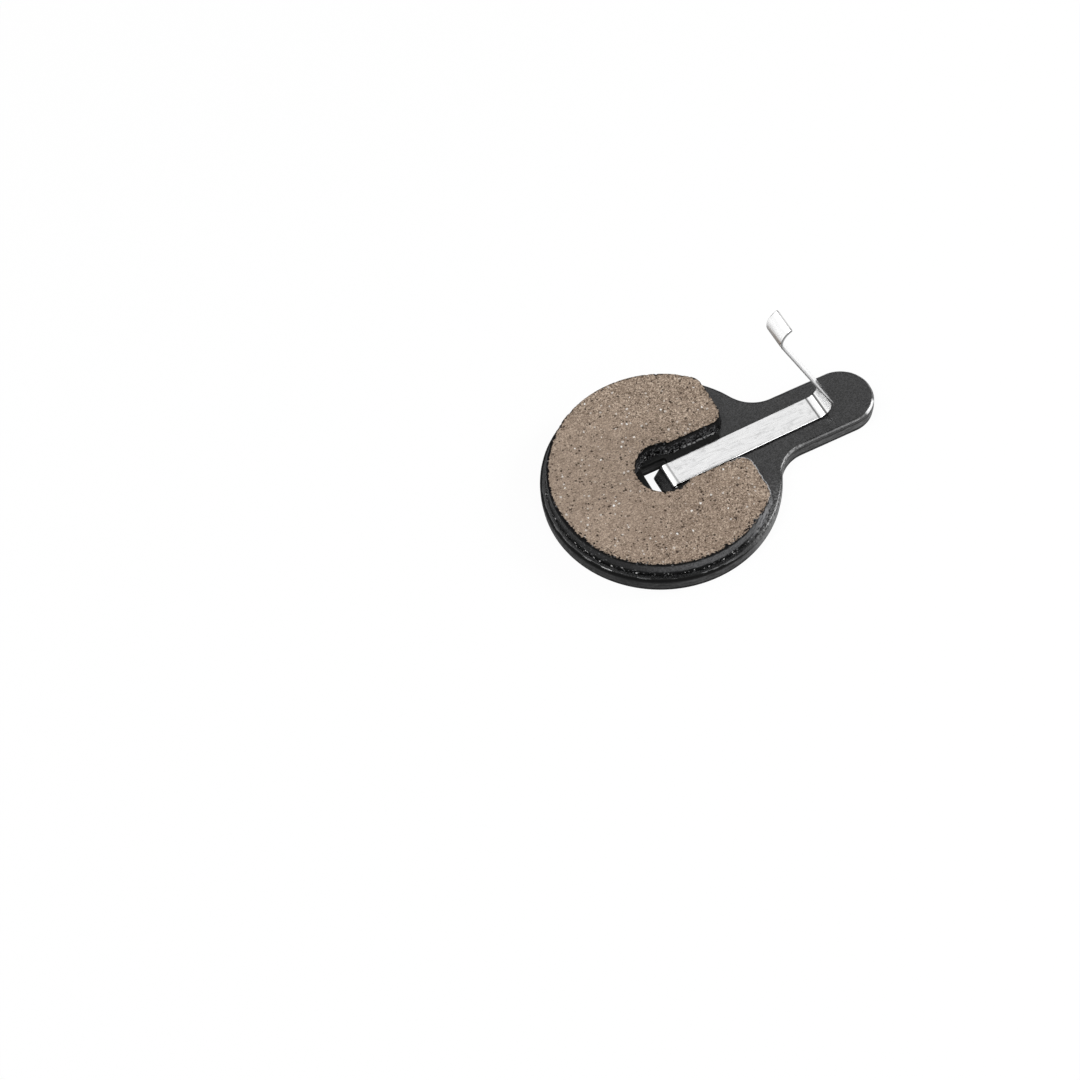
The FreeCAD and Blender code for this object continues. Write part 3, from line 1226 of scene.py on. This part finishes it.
def mark_rows():
    """Close stations on the leg, across the two marks that the bending tool left."""
    rows = []
    for start, side in zip(bend_starts, (1, -1)):
        for share in (0.25, 0.6, 0.8, 1.0, 1.2, 1.4, 1.75):
            length = start + side * MARK_OFFSET * share
            x = leg_start + length - bend_starts[0]
            rows.append((x, PLATE_TOP + STRIP_THICKNESS / 2, 0.0, length))
    return rows


def mark_depth(length):
    """How strong a tool mark's faint groove and its painted shade are at a length along the strip, 0 away
    from the marks.
    """
    crease = math.radians(CREASE_TURN) * (FOLD_BEND + STRIP_THICKNESS / 2)
    middles = (bend_starts[0] + MARK_OFFSET, bend_starts[1] - MARK_OFFSET, bend_starts[1] + crease)
    shares = [held(2 - 2 * abs(length - middle) / half) for middle, half in zip(middles, MARK_HALVES)]
    return max(share * shade for share, shade in zip(shares, MARK_SHADES))


def tip_shade(heading, length):
    """How much painted shade darkens the outside of the free end's bend, and how much rougher it is, most
    where the bend starts.
    """
    tip_bend = math.radians(TIP_ANGLE) * (TIP_BEND + STRIP_THICKNESS / 2)
    if length < stations[-1][3] - TIP_LENGTH - tip_bend:
        return 0.0
    return TIP_PAINTED_SHADE * held((heading - STRETCHED_AT) / 36)


def stretched(heading):
    """Roughness of the steel where bending has stretched it, 0 elsewhere."""
    return 0.5 * held(1.8 - abs(heading - STRETCHED_AT) / 12)


def moved_along(station, distance):
    """A station moved along its heading."""
    x, z, heading, length = station
    aim = math.radians(heading)
    return x + distance * math.cos(aim), z + distance * math.sin(aim), heading, length + distance


def with_close_rows(line):
    """Adds close stations at the tool marks, and at both ends for the rounded corners."""
    clear = 1.2 * END_CORNER
    corners = [END_CORNER * (1 - math.cos(math.radians(angle))) for angle in (25, 45, 65, 90)]
    rows = [line[0]] + [moved_along(line[0], distance) for distance in corners]
    rows += [row for row in line if clear < row[3] < line[-1][3] - clear]
    rows += mark_rows()
    rows.sort(key=lambda row: row[3])
    rows += [moved_along(line[-1], -distance) for distance in reversed(corners)]
    return rows + [line[-1]]


rows = with_close_rows(stations)
print(len(rows), "rows along the strip")

# %% Carry the section along the strip
SHEARED_END = 0.16  # the free end is sheared over this length
MARK_GROOVE = 0.008
EDGE_LINE_UP = 0.03  # the painted dark edge line lies further than this from the strip's middle line

total = rows[-1][3]
points = []
faces = []
along = []
numbers = {"painted_bend_shade": [], "rubbed": [], "stretched": [], "painted_edge_line": []}
for k, (x, z, heading, length) in enumerate(rows):
    aim = math.radians(heading)
    mark = mark_depth(length)
    shade = tip_shade(heading, length)
    free = length > bend_starts[1]
    at_tip = length > total - SHEARED_END
    for across, up in strip_section(width_near_end(min(length, total - length))):
        up -= mark * MARK_GROOVE if up > 0 else 0
        at_edge = abs(across) > STRIP_WIDTH / 2 - EDGE_ROUND
        # points on the painted dark edge line
        on_painted_edge_line = up > EDGE_LINE_UP or up < -EDGE_LINE_UP and free and across > 0
        points.append((x - up * math.sin(aim), across, z + up * math.cos(aim)))
        along.append((length, across))
        # painted shade at the marks and on the free end's bend
        numbers["painted_bend_shade"].append(max(mark, shade) if up > 0 else 0)
        numbers["rubbed"].append(float(bend_starts[0] < length < bend_starts[1]))
        numbers["stretched"].append(max(stretched(heading), 0.7 * shade) if free else 0)
        numbers["painted_edge_line"].append(float(at_edge and on_painted_edge_line or at_tip))
    if k:
        faces += bridge(count * k, count * (k - 1), count)
faces.append(tuple(range(count)))
faces.append(tuple(reversed(range(count * (len(rows) - 1), count * len(rows)))))
spin = Matrix.Rotation(askew, 3, "Z")
pivot = Vector((leg_end, 0, 0))
points = [pivot + spin @ (Vector(point) - pivot) for point in points]
spring = make_piece("hairpin_spring", points, faces, spring_finish, "return_spring", 50)
for name, values in numbers.items():
    carry(spring, name, values)

# %% Choose the sheared faces and map the strip
SHEARED_TURN = 0.7  # faces turned further than this to the side are sheared
SHEARED_FREE = 0.3  # on the free leg and the hook, which were slit with a blunter tool
FREE_ABOVE = 4  # the free leg's edges lie above this height
spring.data.materials.append(sheared_finish)
ends = (len(spring.data.polygons) - 2, len(spring.data.polygons) - 1)
strip_length = stations[-1][3]
for face in spring.data.polygons:
    at_hook = face.center.x < HOLE_LENGTH / 2 * MM
    turn = SHEARED_FREE if face.center.z > FREE_ABOVE * MM or at_hook else SHEARED_TURN
    near_end = all(along[corner][0] > strip_length - SHEARED_END for corner in face.vertices)
    face.material_index = int(abs(face.normal.y) > turn or face.index in ends or near_end)
strip_map = spring.data.uv_layers.new(name="strip")
for corner in spring.data.loops:
    strip_map.data[corner.index].uv = along[corner.vertex_index]
print(sum(face.material_index for face in spring.data.polygons), "faces with the sheared finish")
